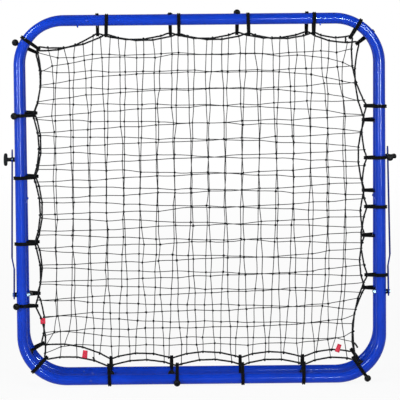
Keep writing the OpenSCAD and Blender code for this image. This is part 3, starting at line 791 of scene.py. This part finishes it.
def loop_line(loop, slant):
    """One cord, out and back: two runs side by side, joined under the ball."""
    path = belt_line(-math.radians(loop[2]))
    share = np.linspace(0, 1, len(path))
    near_rope = np.exp(-((path[:, 0] + TETHER) / SQUEEZE_REACH) ** 2)
    skew = slant * np.sin(share * math.tau)
    gap = (CORD_R + CORD_GAP) * (1 - SQUEEZE * near_rope)
    out = np.column_stack([path, skew + gap])
    back = np.column_stack([path, skew - gap])[::-1]
    end = path[-1]
    inward = (path[-1] - path[-2]) / np.linalg.norm(path[-1] - path[-2])
    bight = [np.array([*(end + inward * CORD_R * math.sin(a)), skew[-1] + gap[-1] * math.cos(a)])
             for a in np.linspace(0, math.pi, 6)[1:-1]]
    run = np.vstack([out, bight, back])
    u, foot = pull_of(loop), foot_of(loop)
    x = foot[0] + run[:, 0] * u[0] - run[:, 2] * u[1]
    z = foot[1] + run[:, 0] * u[1] + run[:, 2] * u[0]
    return np.stack([x, run[:, 1], z], 1)


def ball_centre(loop):
    a, u, foot = math.radians(loop[2]), pull_of(loop), foot_of(loop)
    out = u * BALL_REACH * math.cos(a)
    return np.array([foot[0] + out[0], -BALL_REACH * math.sin(a), foot[1] + out[1]])


# %% Sweep all the loops, in one piece for each frame and one for those on the ground
SLANT = 1.3   # how far a loop may run askew on the tube, in millimetres
loop_pieces = {}
dice = random.Random(5)
for side in LOOPS:
    for group, ground in (("", False), ("ground_", True)):
        rows = [row for row in LOOPS[side] if (row[0] == 270) == ground]
        lines = [(stand_up(loop_line(row, dice.uniform(-SLANT, SLANT) * MM), SIDES[side]), False)
                 for row in rows]
        name = f"{side}_{group}elastic_loops"
        loop_pieces[name] = grow(line_mesh(name + "_line", lines), cord_tree, name,
                                 Radius=CORD_R, Sides=8, Finish=sheath.material)
        for v in loop_pieces[name].data.vertices:   # flat where the frame stands on them
            v.co.z = max(v.co.z, 0)
        length = sum(math.dist(a, b) for a, b in zip(lines[0][0], lines[0][0][1:]))
        print("each of its cords is about", round(length, 3), "m long")

# %% [markdown]
# The ball on each elastic is moulded with a hole for the two cord ends. Its profile is
# drawn once and spun round the hole's axis, with the cord hole below and a wider recess on
# top, where the knot sits. The same ball is then placed and aimed on every loop.

# %% A helper that turns a bmesh into an object, and one that spins a profile
def skin(name, bm, finish=None):
    """Puts a finished bmesh into the scene, smooth shaded."""
    for face in bm.faces:
        face.smooth = True
    mesh = bpy.data.meshes.new(name)
    bm.to_mesh(mesh)
    bm.free()
    if finish:
        mesh.materials.append(finish.material)
    print(name, "has", len(mesh.polygons), "faces")
    return show(name, mesh)


def spun(name, profile, steps):
    """A closed solid from (radius, height) points. The first and last radius are zero."""
    bm = bmesh.new()
    turns = [k * math.tau / steps for k in range(steps)]
    rings = [[bm.verts.new((r * math.cos(a), r * math.sin(a), z)) for a in turns] if r > 0
             else [bm.verts.new((0, 0, z))] for r, z in profile]
    for a, b in zip(rings, rings[1:]):
        for k in range(steps):
            k2 = (k + 1) % steps
            corners = [a[k % len(a)], a[k2 % len(a)], b[k2 % len(b)], b[k % len(b)]]
            unique = list(dict.fromkeys(corners))
            if len(unique) > 2:
                bm.faces.new(unique)
    bmesh.ops.recalc_face_normals(bm, faces=bm.faces)
    return skin(name, bm)


# %% One ball, with radii and heights as shares of its own radius
BALL_R = 9.3 * MM
HOLE = [(0, -0.62), (0.30, -0.62), (0.34, -0.90)]
RECESS = [(0.40, 0.90), (0.35, 0.84), (0.33, 0.66), (0.24, 0.66), (0.26, 0.80), (0.16, 0.90),
          (0, 0.93)]
HOLE_EDGE, RECESS_EDGE, BELTS = 21, 24, 16   # degrees from the poles, steps between them
SEAM_AT, SEAM = 8, ((0.999, 0, -0.03), (1.0, 0.012, 0), (0.999, 0, 0.03))
BALL_STEPS = 20


def ball_profile():
    rows = []
    for k in range(1, BELTS):
        a = math.radians(-90 + HOLE_EDGE + k * (180 - HOLE_EDGE - RECESS_EDGE) / BELTS)
        r, z = math.cos(a), math.sin(a)
        rows += ([(r * share + out, z + up) for share, out, up in SEAM] if k == SEAM_AT
                 else [(r, z)])
    return [(r * BALL_R, z * BALL_R) for r, z in HOLE + rows + RECESS]


ball = spun("ball", ball_profile(), BALL_STEPS)

# %% A tree that aims one ball away from the tube on every loop
ball_tree = Tree("balls", Ball=("Object", None), Finish=("Material", None))
ball_points = ball_tree.add("GeometryNodeMeshToPoints", Mesh=ball_tree.given("Geometry"))
ball_aim = ball_tree.add("GeometryNodeInputNamedAttribute", {"data_type": "FLOAT_VECTOR"},
                         Name="aim")
ball_turn = ball_tree.add("FunctionNodeAlignRotationToVector", {"axis": "Z"},
                          Vector=ball_aim.outputs["Attribute"])
ball_shape = ball_tree.add("GeometryNodeObjectInfo", Object=ball_tree.given("Ball"))
ball_set = ball_tree.add("GeometryNodeInstanceOnPoints", Points=ball_points.outputs[0],
                         Instance=ball_shape.outputs["Geometry"], Rotation=ball_turn.outputs[0])
ball_tree.end(ball_set.outputs[0], ball_tree.given("Finish"))

ball_pieces = {}
for side in LOOPS:
    centres = stand_up([ball_centre(row) for row in LOOPS[side]], SIDES[side])
    feet = stand_up([in_plane(foot_of(row)) for row in LOOPS[side]], SIDES[side])
    aims = [tuple(v) for v in centres - feet]
    source = line_mesh(side + "_ball_points", [], centres, aims=aims)
    ball_pieces[side] = grow(source, ball_tree, side + "_loop_balls", Ball=ball,
                             Finish=plastic.material)
bpy.data.objects.remove(ball)

# %% [markdown]
# The hand knobs are T-shaped handles moulded on a stud. A round stem carries a bar whose
# section swells in the middle and narrows to round ends, with grooves for the fingers.
# Rings of points along the bar give that shape, and a subdivision smooths it.

# %% A skin through rings of points
def loft(bm, rings):
    """Closed skin through the rings, with a pole at each end."""
    loops = [[bm.verts.new(p) for p in ring] for ring in rings]
    for a, b in zip(loops, loops[1:]):
        for k in range(len(a)):
            bm.faces.new((a[k], a[(k + 1) % len(a)], b[(k + 1) % len(b)], b[k]))
    for ring, flip in ((loops[0], True), (loops[-1], False)):
        pole = bm.verts.new(sum((v.co for v in ring), Vector()) / len(ring))
        for k in range(len(ring)):
            pair = (ring[k], ring[(k + 1) % len(ring)])
            bm.faces.new((pair[1], pair[0], pole) if flip else (pair[0], pair[1], pole))


# %% The stem and the bar of a knob, in millimetres out from the strut
KNOB_SEAT = 0.5141   # the strut's outer face, in metres from the middle
STEM = [(0, 6.4), (0.3, 6.5), (1.6, 6.5), (2.4, 5.7), (5, 5.1), (8, 5.2), (10.5, 5.9), (13.5, 5.6)]
STEM_SIDES, BAR_RINGS, BAR_SIDES = 24, 29, 20
BAR_HALF_LONG, BAR_HALF_WIDE = 17.7, 5.9
BAR_LOW, BAR_HIGH = 10.6, 22.1
BLUNT, WAIST = 0.12, 0.10                          # at the ends, and towards them
ENDS_FROM = 0.66                                   # where the ends start to round
GRIP, GROOVE_DEPTH, GROOVES = (0.30, 0.86), 0.07, 58
SQUARISH = 0.75                                    # power that squares the round section


def squared(value):
    return math.copysign(abs(value) ** SQUARISH, value)


def bar_ring(u, tilt):
    """Skin of the bar at u, which goes from -1 at one end to 1 at the other."""
    end = math.sqrt(max(0.0, 1 - max(0, (abs(u) - ENDS_FROM) / (1 - ENDS_FROM)) ** 2.2))
    half_w = BAR_HALF_WIDE * max(end, BLUNT) * (1 - WAIST * u * u)
    if GRIP[0] < abs(u) < GRIP[1]:
        half_w *= 1 - GROOVE_DEPTH * (0.5 + 0.5 * math.cos(u * GROOVES))
    rounding = 1 - max(end, 0.2)
    low = BAR_LOW + 0.8 * abs(u) + 3.4 * rounding
    high = BAR_HIGH - 1.6 * u * u - 3.0 * rounding
    ring = []
    for k in range(BAR_SIDES):
        a = k * math.tau / BAR_SIDES
        across, along = half_w * squared(math.cos(a)), BAR_HALF_LONG * u
        out = (low + high) / 2 + (high - low) / 2 * squared(math.sin(a))
        y = across * math.cos(tilt) - along * math.sin(tilt)
        z = across * math.sin(tilt) + along * math.cos(tilt)
        ring.append((KNOB_SEAT + out * MM, y * MM, z * MM))
    return ring


# %% A hand knob
def hand_knob(name, side_sign, bar_turn):
    bm = bmesh.new()
    turns = [k * math.tau / STEM_SIDES for k in range(STEM_SIDES)]
    loft(bm, [[(KNOB_SEAT + h * MM, r * MM * math.cos(a), r * MM * math.sin(a)) for a in turns]
              for h, r in STEM])
    loft(bm, [bar_ring(u, math.radians(bar_turn)) for u in np.linspace(-1, 1, BAR_RINGS)])
    bmesh.ops.recalc_face_normals(bm, faces=bm.faces)
    place = Matrix.Translation(Vector(stand_up([(0, 0, KNOB_UP)], SIDES["rear"])[0]))
    lean, mirror = Matrix.Rotation(LEAN, 4, "X"), Matrix.Scale(side_sign, 4, (1, 0, 0))
    bmesh.ops.transform(bm, matrix=place @ lean @ mirror, verts=bm.verts)
    if side_sign < 0:
        bmesh.ops.reverse_faces(bm, faces=bm.faces)
    obj = skin(name, bm, plastic)
    smooth = obj.modifiers.new("smooth", "SUBSURF")
    smooth.levels = smooth.render_levels = 1
    return obj


knob_pieces = {"left": hand_knob("left_hand_knob", -1, -17),
               "right": hand_knob("right_hand_knob", 1, 90)}

# %% [markdown]
# Three short pieces of red tape are folded over the front rope and sewn together. A cloth
# simulation would be slow for so little, so each is a drawn strip: up one side, over the rope
# and down the other, a little curled. Solidify gives it the thickness of tape.

# %% One red cloth tag
FOLD_R, FOLD_SWELL = 2.6, 2.65      # round the rope, in millimetres
LEAF_GAP, LEAF_SWELL, SWELL_REACH = 0.45, 2.2, 5.0
ACROSS, TAPER, TAPE = 6, 0.10, 0.5 * MM
CUP, CUP_TURN = 0.5, 0.5            # how hollow the tape is across, in mm and radians per mm
MEAN_WIDTH = 0.96                   # of the tapered tape, as a share of its full width


def tag_path(length, curl):
    """Middle line of a tag from one free end to the other: out from the rope, and sideways."""
    leaf = [(s * length, LEAF_GAP + LEAF_SWELL * math.exp(-(s * length / SWELL_REACH) ** 2),
             curl * s * s) for s in np.linspace(0, 1, 10)]
    fold = [(-FOLD_R * math.cos(a), FOLD_SWELL * math.sin(a))
            for a in np.linspace(math.pi / 2, -math.pi / 2, 9)[1:-1]]
    return ([(d, gap + lift) for d, gap, lift in reversed(leaf)] + fold
            + [(d, lift - gap) for d, gap, lift in leaf])


def tag_strip(name, at, aim, width, length, curl):
    """A folded strip: at is its place on the rope, aim the direction of its free end."""
    at, aim = np.array(at) * MM, np.array(aim, float) / np.linalg.norm(aim)
    beside = np.array([-aim[1], aim[0]])
    path = tag_path(length, curl)
    bm = bmesh.new()
    grid = []
    for d, y in path:
        row = []
        for k in range(ACROSS + 1):
            w = (k / ACROSS - 0.5) * width
            base = at + aim * d * MM + beside * w * MM * (1 - TAPER * abs(d) / length)
            curved = (base[0], (y + CUP * math.sin(w * CUP_TURN)) * MM, base[1])
            row.append(bm.verts.new(stand_up([curved], SIDES["front"])[0]))
        grid.append(row)
    for a, b in zip(grid, grid[1:]):
        for k in range(ACROSS):
            bm.faces.new((a[k], a[k + 1], b[k + 1], b[k]))
    bmesh.ops.recalc_face_normals(bm, faces=bm.faces)
    obj = skin(name, bm, red)
    thick = obj.modifiers.new("cloth", "SOLIDIFY")
    thick.thickness, thick.offset = TAPE, 0
    flat_length = sum(math.dist(a, b) for a, b in zip(path, path[1:]))
    return obj, (width * MEAN_WIDTH * MM, flat_length * MM)


tags = [tag_strip("red_tag_left", (-434, -324), (1, 0.02), 17, 11, -1.0),
        tag_strip("red_tag_lower_left", (-318, -424), (0.12, 1), 14, 19, -1.5),
        tag_strip("red_tag_lower_right", (367, -414), (0.35, 1), 12, 20, -1.2)]

# %% [markdown]
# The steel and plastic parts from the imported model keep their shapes. Each of them gets the
# finish that belongs to its slot in the record, except the few that have one of their own.

# %% Finishes for the carried-over parts
finish_of = {"blue_paint": blue, "zinc_steel": zinc, "black_plastic": plastic, "net_twine": twine,
             "border_rope": rope_finish, "elastic_cord": sheath, "red_fabric": red}
slot_of = {row["node"]: row["material_slot"] for row in frame["record"]["subparts"]}
# The struts get the blue with painted shade in it
own_finish = {"left_strut": shaded_strut_blue, "right_strut": shaded_strut_blue,
              "front_snap_buttons": button_blue, "rear_snap_buttons": button_blue,
              "bottom_rivets": button_blue}
for node, obj in frame["nodes"].items():
    obj.data.materials.clear()
    obj.data.materials.append(own_finish.get(node, finish_of[slot_of[node]]).material)
print("nodes finished:", len(frame["nodes"]))

# %% [markdown]
# When a frame folds or a knob turns, the new pieces have to go along.

# %% Tie the new pieces to the parts that carry them
for side in LOOPS:
    body = side + "_frame"
    for piece, nodes, slot in (
        (net_pieces[side], [side + "_net"], "net_twine"),
        (rope_pieces[side], [side + "_border_rope"], "border_rope"),
        (loop_pieces[side + "_elastic_loops"], [side + "_bungee_loops"], "elastic_cord"),
        (loop_pieces[side + "_ground_elastic_loops"], [side + "_ground_bungee_loops"],
         "elastic_cord"),
        (ball_pieces[side], [side + "_bungee_balls"], "black_plastic"),
    ):
        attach(piece, body)
        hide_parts(*nodes)
for hand, piece in knob_pieces.items():
    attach(piece, hand + "_knob")
    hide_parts(hand + "_knob")
for piece, flat in tags:
    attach(piece, "front_frame")
    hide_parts("net_tags")
    print(piece.name, "is", round(flat[0], 4), "by", round(flat[1], 4), "m flat")

# %% [markdown]
# The object stands on a plain pale floor. The floor takes the soft shadow, and a light of
# its own that only the camera and mirror-like paths see lifts it to white, so the paper
# white around the object needs no extra light on the object itself.

# %% Floor
FLOOR_HALF, FLOOR_Z = 150, -0.0005
NEAR, FAR, GLOW_NEAR = 1.2, 6.0, 0.92   # metres from the middle, and the share of glow there
floor_mesh = bpy.data.meshes.new("floor")
floor_mesh.from_pydata([(x * FLOOR_HALF, y * FLOOR_HALF, 0)
                        for x, y in ((-1, -1), (1, -1), (1, 1), (-1, 1))], [], [(0, 1, 2, 3)])
floor = show("floor", floor_mesh)
floor.location.z = FLOOR_Z
pale = Finish("pale_floor", Base_Color=(0.8, 0.8, 0.8, 1), Roughness=0.9, Specular_IOR_Level=0.1)
ray = pale.add("ShaderNodeLightPath").outputs
seen = pale.math("MAXIMUM", ray["Is Camera Ray"], ray["Is Glossy Ray"])
seen = pale.math("MAXIMUM", seen, ray["Is Transmission Ray"])
away = pale.add("ShaderNodeVectorMath", {"operation": "LENGTH"}, i0=pale.place())
away = pale.span(away.outputs["Value"], NEAR, FAR, 0, 1)
glow = pale.add("ShaderNodeEmission", Color=(1, 1, 1, 1), Strength=seen)
share = pale.math("MULTIPLY", seen, pale.span(away, 0, 1, GLOW_NEAR, 1.0))
blend = pale.add("ShaderNodeMixShader", i0=share, i1=pale.shader.outputs[0], i2=glow.outputs[0])
pale.tree.links.new(blend.outputs[0], pale.tree.nodes["Material Output"].inputs["Surface"])
floor_mesh.materials.append(pale.material)

# %% [markdown]
# The world is an even, pale room with a white wall all round at eye level. A picture of a
# studio would give livelier reflections, but a ramp by height keeps every colour neutral.

# %% World
WALL_TOP, CEILING_FROM, WALL, CEILING = 0.10, 0.30, 1.0, 0.33
world = bpy.data.worlds.new("studio")
bpy.context.scene.world = world
world.use_nodes = True
room = world.node_tree
where = add_node(room, "ShaderNodeTexCoord", None, {}).outputs["Generated"]
height = add_node(room, "ShaderNodeSeparateXYZ", None, {"Vector": where}).outputs["Z"]
wall = add_node(room, "ShaderNodeMapRange", None,
                {"Value": height, "From Min": WALL_TOP, "From Max": CEILING_FROM,
                 "To Min": WALL, "To Max": CEILING})
room.links.new(wall.outputs[0], room.nodes["Background"].inputs["Strength"])
room.nodes["Background"].inputs["Color"].default_value = (1.0, 1.0, 1.0, 1)
print("room brightness: wall", WALL, "and ceiling", CEILING)

# %% [markdown]
# Round painted tubes show a lamp as a thin bright line, and its shape and place decide where
# the line starts and stops. So the work is split: large soft lamps light the colours and
# leave no reflection, and small bright ones draw the lines and light nothing. A narrow
# spread keeps the one above the top tube from drawing a second line on the bottom tube.

# %% Lamps
HIGHLIGHT_TINT, PLAIN_WHITE = (0.75, 0.95, 1.0), (1.0, 1.0, 1.0)


def lamp(name, place, aim, size, radiance, highlights, spread=180):
    """An area lamp. Its radiance times its area and pi is its power, less for a narrow spread."""
    light = bpy.data.lights.new(name, "AREA")
    light.shape, light.size, light.size_y = "RECTANGLE", size[0], size[1]
    half = math.radians(spread / 2)
    light.spread = 2 * half
    light.energy = math.pi * size[0] * size[1] * radiance * (1 - half / math.tan(half))
    light.color = HIGHLIGHT_TINT if highlights else PLAIN_WHITE
    obj = show(name, light)
    obj.location = place
    obj.rotation_euler = (Vector(aim) - Vector(place)).to_track_quat("-Z", "Y").to_euler()
    obj.visible_camera = False
    obj.visible_glossy, obj.visible_diffuse = highlights, not highlights
    print("lamp", name, "has", round(light.energy, 1), "W")


lamp("soft_left", (-2.4, -3.2, 1.8), (0, 0, 0.5), (1.6, 1.6), 9.5, False)
lamp("soft_right", (2.2, -3.8, 1.6), (0, 0, 0.5), (1.6, 1.6), 4.5, False)
lamp("soft_top", (0.3, -2.2, 3.6), (0, 0, 0.4), (2.4, 1.4), 2.8, False)
lamp("line_left", (-4.1, -5.0, 0.92), (0, 0, 0.9), (0.35, 0.44), 360, True)
lamp("line_right", (2.0, -7.5, 0.87), (0, 0, 0.9), (0.25, 0.66), 560, True)
lamp("line_top", (0.62, -5.0, 1.95), (0.3, 0, 1.0), (0.62, 0.3), 200, True, spread=24)
lamp("line_corner", (1.23, -6.0, 1.49), (0.4, 0, 0.9), (1.1, 0.5), 125, True)
lamp("high_left", (-2.2, -1.5, 2.6), (0, 0, 0.4), (1.2, 1.0), 42, True)
lamp("high_right", (2.2, -1.5, 2.6), (0, 0, 0.4), (1.2, 1.0), 34, True)
